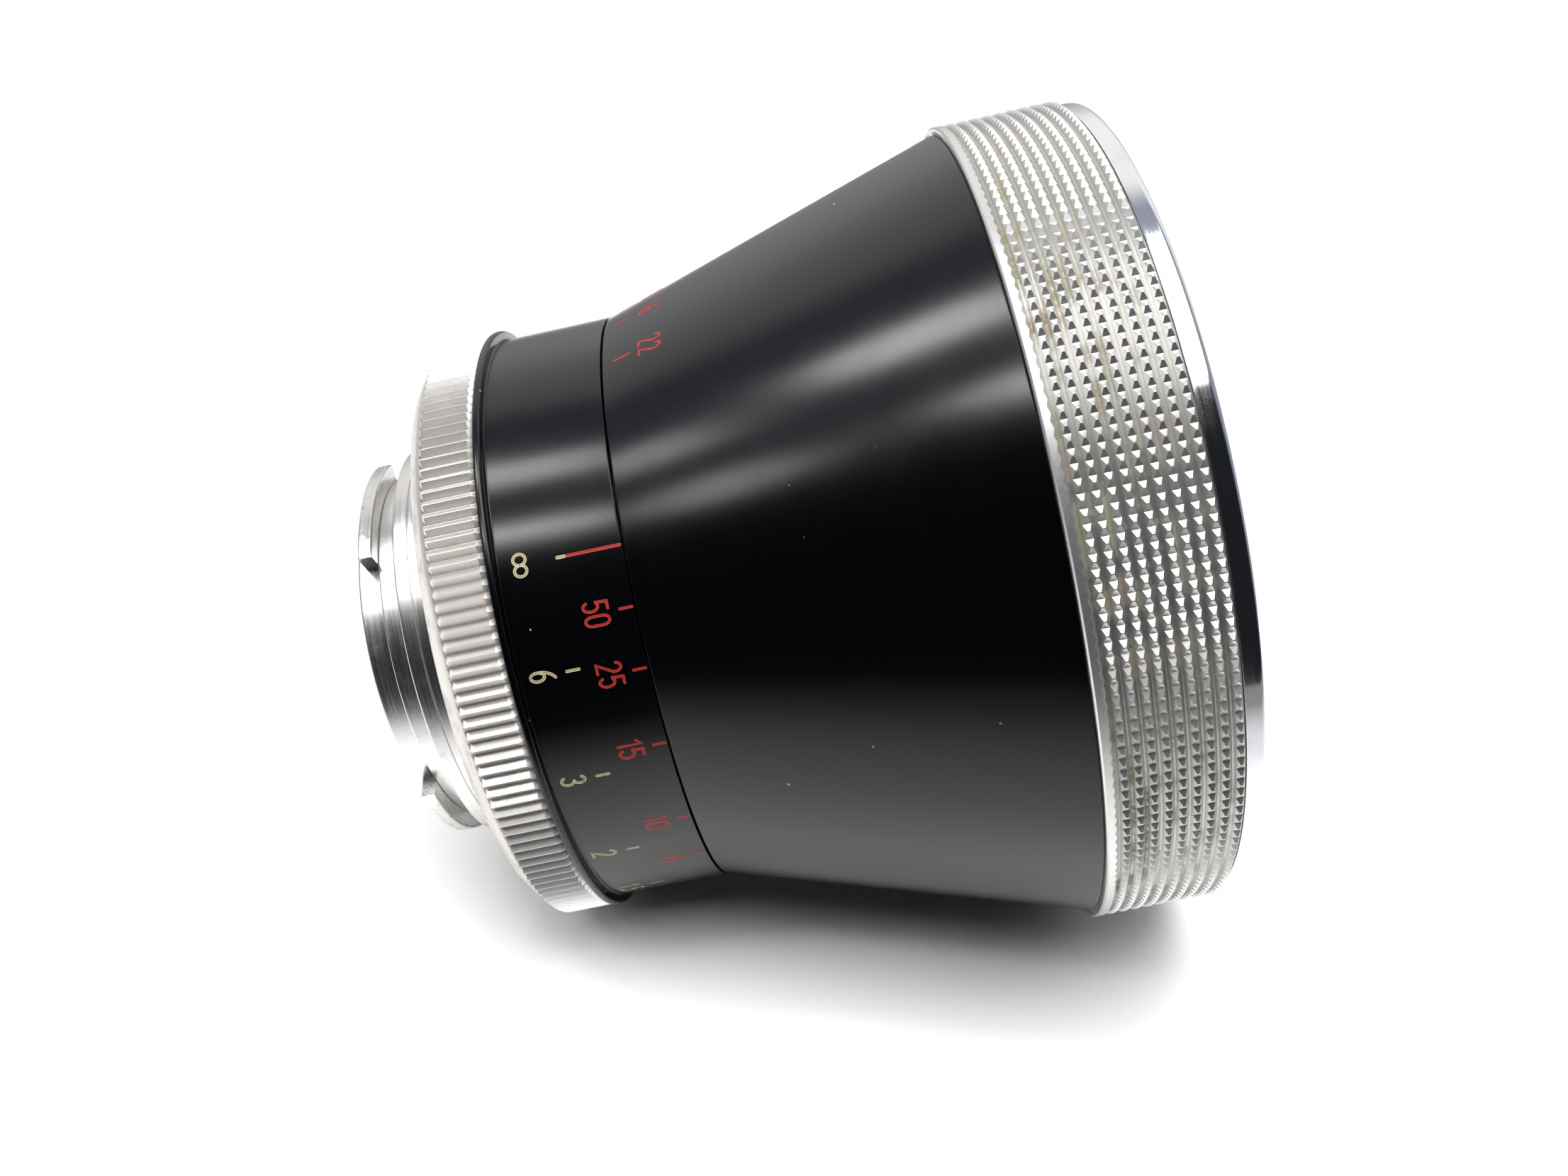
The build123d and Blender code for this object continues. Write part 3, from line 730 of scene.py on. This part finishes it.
def number_strokes(bm, text, radius_at, angle_deg, height, spacing=FIGURE_SPACING):
    """Figures centred on a place, reading towards +angle with their tops towards the front."""
    starts = [0.0]
    for character in text[:-1]:
        starts.append(starts[-1] + (NARROW if character in "1." else 1.0) * spacing)
    left = -(starts[-1] + FIGURE_WIDTH) / 2
    for character, start in zip(text, starts):
        for stroke in FIGURES[character]:
            path = [(left + start + x * 2 * FIGURE_WIDTH, (y - 0.5) * FIGURE_HEIGHT) for x, y in stroke]
            ribbon(bm, path, STROKE, on_barrel(radius_at, angle_deg, height))


def tick(bm, radius_at, angle_deg, ends, width):
    """A line along the barrel, between two heights."""
    rear, front = ends
    path = [(0.0, 0.0), (0.0, (front - rear) / 2), (0.0, front - rear)]
    ribbon(bm, path, width, on_barrel(radius_at, angle_deg, rear))


# Angles in degrees. A distance's angle from infinity is its scale's number over the distance, plus any offset.
INFINITY_ANGLE = -9.95
RED_SCALE, CREAM_SCALE, CREAM_OFFSET = 522.0, 119.0, -1.0
INDEX_ANGLE = -100.4
DEGREES_PER_STOP = 2.41
FEET = ("50", "25", "15", "10", "8", "6", "5", "4")
METRES = ("6", "3", "2", "1.5", "1.2", "1")
STOPS = (22, 16, 11, 8)
RED_HEIGHT, CREAM_HEIGHT, STOP_HEIGHT = 15.96, 11.33, 22.63  # of the middles of the figures
TICK_WIDTH, LINE_WIDTH, INDEX_WIDTH = 0.2, 0.23, 0.3
# Rear and front ends of the ticks and lines.
SCALE_END = SLEEVE_FRONT - 0.12
RED_TICK, RED_LINE = (SLEEVE_FRONT - 1.0, SCALE_END), (14.75, SCALE_END)
CREAM_TICK, CREAM_LINE = (13.05, 13.95), (14.0, 14.55)
STOP_TICK, INDEX_LINE = (19.72, 20.98), (19.3, 24.2)


def sleeve_radius(_height):
    return SLEEVE_R


def distance_marks():
    """The red and the cream scale on the sleeve. The long line at infinity serves both."""
    red, cream = bmesh.new(), bmesh.new()
    for feet in FEET:
        angle = INFINITY_ANGLE + RED_SCALE / float(feet)
        tick(red, sleeve_radius, angle, RED_TICK, TICK_WIDTH)
        number_strokes(red, feet, sleeve_radius, angle, RED_HEIGHT)
    for metres in METRES:
        angle = INFINITY_ANGLE + CREAM_OFFSET + CREAM_SCALE / float(metres)
        tick(cream, sleeve_radius, angle, CREAM_TICK, TICK_WIDTH)
        number_strokes(cream, metres, sleeve_radius, angle, CREAM_HEIGHT)
    tick(red, sleeve_radius, INFINITY_ANGLE, RED_LINE, LINE_WIDTH)
    tick(cream, sleeve_radius, INFINITY_ANGLE, CREAM_LINE, LINE_WIDTH)
    loop_x, loop_y = 0.40, 0.44
    for side in (-1, 1):
        loop = bow(side * loop_x, 0.0, loop_x, loop_y, 0, 360, 24)
        ribbon(cream, loop, STROKE, on_barrel(sleeve_radius, INFINITY_ANGLE, CREAM_HEIGHT + 0.03))
    return finish_mesh("distance_marks_red", red), finish_mesh("distance_marks_cream", cream)


def depth_marks():
    """The depth-of-field scale on the cone, a pair of ticks for each stop, and its index line."""
    bm = bmesh.new()
    for stop in STOPS:
        for side in (-1, 1):
            angle = INDEX_ANGLE + side * DEGREES_PER_STOP * stop
            tick(bm, cone_radius, angle, STOP_TICK, TICK_WIDTH)
            number_strokes(bm, str(stop), cone_radius, angle, STOP_HEIGHT, WIDE_SPACING)
    tick(bm, cone_radius, INDEX_ANGLE, INDEX_LINE, INDEX_WIDTH)
    return finish_mesh("depth_of_field_marks", bm)


# --- The object ---------------------------------------------------------------------------------
black = lacquer()
# Each knurl's colours: the metal at the crests, then its painted shade towards the bottom of the knurl.
grip_metal = knurl_chrome(
    "focus_ring_chrome", GRIP_R, TEETH_DEPTH, (GRIP_REAR, GRIP_TOP), (0.3, 0.3),
    metallic=0.68, roughness=0.33, colours=((0.87, 0.85, 0.82), (0.46, 0.41, 0.36)),
)
ring_metal = knurl_chrome(
    "front_ring_chrome", RING_R, DIAMOND_DEPTH, (RING_REAR, RING_FRONT), (1.0, 0.3),
    metallic=0.90, roughness=0.34, colours=((0.70, 0.69, 0.67), (0.43, 0.42, 0.38)),
)
bezel_metal = polished_chrome()
tube_metal = mount_metal()
inner_black = matt_black()
glass = coated_glass()
# Each mark's paint: its colour, the darker colour of the painted shade along its middle, the worn colour, and
# where wear starts.
red_paint = mark_paint("mark_red", (0.40, 0.035, 0.028), (0.24, 0.012, 0.010), (0.10, 0.015, 0.012), 0.62)
cream_paint = mark_paint("mark_cream", (0.58, 0.52, 0.33), (0.20, 0.17, 0.09), (0.10, 0.08, 0.04), 0.58)
brass = plain_metal("turned_brass", (0.42, 0.28, 0.10), (0.66, 0.48, 0.20), 0.22, 0.36)
aluminium = plain_metal("turned_aluminium", (0.42, 0.42, 0.43), (0.66, 0.66, 0.67), 0.24, 0.38)
screw_steel = plain_metal("screw_steel", (0.16, 0.16, 0.17), (0.34, 0.34, 0.35), 0.28, 0.42)

piece(cone_shell(), "front_barrel", black, ["cone_barrel"])
piece(diamond_knurl(), "front_barrel", ring_metal, ["front_grip_ring"])
piece(threaded_bezel(), "front_barrel", bezel_metal, ["front_bezel"])
piece(black_trim_ring(), "front_barrel", inner_black, ["trim_ring"])
piece(scale_sleeve(), "focus_ring", black, ["distance_scale_sleeve"])
piece(straight_knurl(), "focus_ring", grip_metal, ["focus_grip_ring"])
piece(mount_tube(), "mount", tube_metal, ["bayonet_mount"])
LUGS, FIRST_LUG = 3, -74.0
for number in range(LUGS):
    lug = bayonet_lug(f"bayonet_lug_{number + 1}", FIRST_LUG + number * 360.0 / LUGS)
    piece(lug, "mount", tube_metal)

# Radius, then the heights of the rear face's edge and centre, and of the front face's.
GLASSES = {
    "front_element": (25.8, 45.4, 47.5, 47.2, 52.6),
    "second_element": (22.5, 37.1, 38.3, 38.6, 44.6),
    "rear_element": (12.15, 5.5, 4.0, 8.0, 8.9),
}
for node, sizes in GLASSES.items():
    piece(lens_glass(f"{node}_polished", *sizes), "front_barrel", glass, [node])

red_marks, cream_marks = distance_marks()
piece(red_marks, "focus_ring", red_paint)
piece(cream_marks, "focus_ring", cream_paint)
piece(depth_marks(), "front_barrel", red_paint)

CAD_FINISHES = {
    "fixed_barrel": aluminium,
    "mount_screws": screw_steel,
    "guide_pins": brass,
    "helicoid_ring": brass,
    "focus_stop_pin": screw_steel,
    "slide_barrel": aluminium,
    "cone_grub_screws": screw_steel,
    "front_cell": inner_black,
    "inner_retaining_ring": inner_black,
    "spacer_ring": inner_black,
    "doublet_front": glass,
    "doublet_rear": glass,
    "rear_cell": inner_black,
    "rear_retaining_ring": inner_black,
    "light_baffle": inner_black,
}
for node, material in CAD_FINISHES.items():
    for material_slot in frame["nodes"][node].material_slots:
        material_slot.material = material

# --- Camera, table and light --------------------------------------------------------------------
# The lens lies on its side, on its front ring and its focusing ring. These axes are the camera's own.
RIGHT = Vector((0.2043, 0.0415, 0.9780))
DOWN = Vector((0.9788, -0.0209, -0.2036))
FORWARD = Vector((0.0120, 0.9989, -0.0448))
CAMERA_PLACE = Vector((0.0, -117.8, 33.2)) * MM
FOCAL_LENGTH, SENSOR = 31.475, 36.0

# The table touches both rings at the same angle round the axis, at these heights along it.
CONTACT_ANGLE = math.radians(119.4)
RING_CONTACT, GRIP_CONTACT = RING_REAR + 0.2, GRIP_REAR + 5.0
TABLE_POINT = point(RING_R, CONTACT_ANGLE, RING_CONTACT)

# Axes of the table: its normal, the way towards the camera and the way to the picture's right.
lean = math.atan2(RING_R - GRIP_R, RING_CONTACT - GRIP_CONTACT)
out_x, out_y = direction(CONTACT_ANGLE)
UP = Vector((-out_x * math.cos(lean), -out_y * math.cos(lean), math.sin(lean)))
TOWARDS = (-FORWARD - UP * (-FORWARD).dot(UP)).normalized()
ASIDE = UP.cross(TOWARDS)

# Reach of the paper from the lens in metres: towards the camera, away from it and to each side.
PAPER_NEAR, PAPER_FAR, PAPER_SIDE = 0.118, 0.30, 0.32
# The paper's white, the grey of a painted shadow across its near part, and how far towards the camera that
# painted shadow starts and ends its fall to grey. Only the lens's reflections and the light bounced from the
# paper see it.
PAPER_WHITE, PAPER_SHADOW_GREY = 0.90, 0.14
PAPER_SHADOW_START, PAPER_SHADOW_END = 0.038, 0.095

ROOM_DARK = (0.013, 0.014, 0.017)
ROOM_SIDE = (0.30, 0.33, 0.40)
ROOM_LOW = (0.42, 0.42, 0.43)
ROOM_WHITE = (1.0, 1.0, 1.0)


def frame_matrix(x_axis, y_axis, z_axis, place):
    """A matrix that turns an object to three axes and puts it in its place."""
    return Matrix.Translation(place) @ Matrix((x_axis, y_axis, z_axis)).transposed().to_4x4()


def add_camera():
    """The camera, close over the lens."""
    data = bpy.data.cameras.new("camera")
    data.lens = FOCAL_LENGTH
    data.sensor_width = SENSOR
    data.clip_start = 0.005
    camera = add_object("camera", data)
    camera.matrix_world = frame_matrix(RIGHT, -DOWN, -FORWARD, CAMERA_PLACE)
    bpy.context.scene.camera = camera


def one_sided_white():
    """Brightly lit pale paper that can't be seen from below. Its near part is painted darker towards the
    camera, a painted shadow that the lens mirrors; the camera sees the paper white.
    """
    material = bpy.data.materials.new("table_white")
    graph = Graph(material)
    graph.nodes.clear()
    place = graph.nodes.new("ShaderNodeTexCoord").outputs["Object"]
    # Painted shadow: the paper's colour falls from white to grey towards the camera, while camera rays see it
    # white.
    start = TABLE_POINT.dot(TOWARDS)
    fall = start + PAPER_SHADOW_START, start + PAPER_SHADOW_END
    mirrored = graph.between(graph.along(place, TOWARDS), *fall, PAPER_WHITE, PAPER_SHADOW_GREY, "LINEAR")
    seen = graph.nodes.new("ShaderNodeLightPath").outputs["Is Camera Ray"]
    paper = graph.nodes.new("ShaderNodeBsdfPrincipled")
    paper.inputs["Specular IOR Level"].default_value = 0.0
    shade = graph.math("MAXIMUM", mirrored, graph.math("MULTIPLY", seen, PAPER_WHITE))
    graph.feed(paper.inputs["Base Color"], shade)
    clear = graph.nodes.new("ShaderNodeBsdfTransparent")
    from_below = graph.nodes.new("ShaderNodeNewGeometry").outputs["Backfacing"]
    both = graph.choose(from_below, paper.outputs[0], clear.outputs[0])
    graph.feed(graph.nodes.new("ShaderNodeOutputMaterial").inputs[0], both)
    return material


def table():
    """The paper under the lens. It ends just outside the view, so the lacquer mirrors the dark room."""
    near, far, side = TOWARDS * PAPER_NEAR, -TOWARDS * PAPER_FAR, ASIDE * PAPER_SIDE
    corners = [TABLE_POINT + offset for offset in (near - side, near + side, far + side, far - side)]
    mesh = bpy.data.meshes.new("table")
    mesh.from_pydata(corners, [], [(0, 1, 2, 3)])
    if mesh.polygons[0].normal.dot(UP) < 0:
        mesh.flip_normals()
    mesh.materials.append(one_sided_white())
    add_object("table", mesh)


def lamp(name, azimuth_deg, elevation_deg, distance, width, height, power):
    """A soft rectangular lamp that faces the lens, its width level with the table.

    Its compass angle is from the camera's side, and its elevation from the table.
    """
    data = bpy.data.lights.new(name, "AREA")
    data.shape = "RECTANGLE"
    data.size, data.size_y = width, height
    data.energy = power
    azimuth, elevation = math.radians(azimuth_deg), math.radians(elevation_deg)
    level = TOWARDS * math.cos(azimuth) + ASIDE * math.sin(azimuth)
    way = level * math.cos(elevation) + UP * math.sin(elevation)
    across = UP.cross(way).normalized()
    middle = Vector((0, 0, (BEZEL_FRONT + MOUNT_REAR) / 2 * MM))
    obj = add_object(name, data)
    obj.matrix_world = frame_matrix(across, way.cross(across), way, middle + way * distance)
    return obj


def world():
    """The room: white behind the table, dim and cool at the sides, and dark on the camera's side."""
    room = bpy.data.worlds.new("room")
    bpy.context.scene.world = room
    graph = Graph(room)
    graph.nodes.clear()
    way = graph.nodes.new("ShaderNodeTexCoord").outputs["Generated"]
    away, up = graph.along(way, -TOWARDS), graph.along(way, UP)
    sides = graph.blend(graph.between(away, -0.55, -0.15), ROOM_DARK, ROOM_SIDE)
    backdrop = graph.blend(graph.between(up, -0.05, 0.5), ROOM_LOW, ROOM_WHITE)
    mirrored, seen = (graph.nodes.new("ShaderNodeBackground") for _ in range(2))
    graph.feed(mirrored.inputs[0], graph.blend(graph.between(away, 0.32, 0.52), sides, backdrop))
    graph.feed(seen.inputs[0], (1.0, 1.0, 1.0, 1.0))
    camera_ray = graph.nodes.new("ShaderNodeLightPath").outputs["Is Camera Ray"]
    both = graph.choose(camera_ray, mirrored.outputs[0], seen.outputs[0])
    graph.feed(graph.nodes.new("ShaderNodeOutputWorld").inputs[0], both)


add_camera()
table()
world()
# Long strip lights over the picture's left side, in short lengths, and a broad light overhead.
STRIP_LIGHTS = (
    # Compass angle and elevation in degrees, width and height in metres, power in watts.
    (-83.5, 42.8, 0.094, 0.056, 0.12),
    (-86.5, 57.3, 0.094, 0.094, 0.37),
    (-79.5, 65.3, 0.094, 0.072, 0.20),
    (-60.5, 37.8, 0.084, 0.073, 0.13),
    (-47.0, 50.8, 0.080, 0.056, 0.22),
    (-37.5, 54.0, 0.075, 0.060, 0.17),
)
for number, (azimuth, elevation, *size, power) in enumerate(STRIP_LIGHTS, 1):
    lamp(f"strip_light_{number}", azimuth, elevation, 0.60, *size, power)
lamp("overhead", 30.0, 76.0, 0.9, 0.64, 0.64, 5.6)
# A fill that whitens the paper under the lens. It isn't mirrored, as the photographer's side is dark.
fill = lamp("fill", 10.0, 70.0, 0.9, 0.7, 0.7, 7.6)
fill.visible_glossy = False

bpy.context.scene.view_settings.view_transform = "Standard"
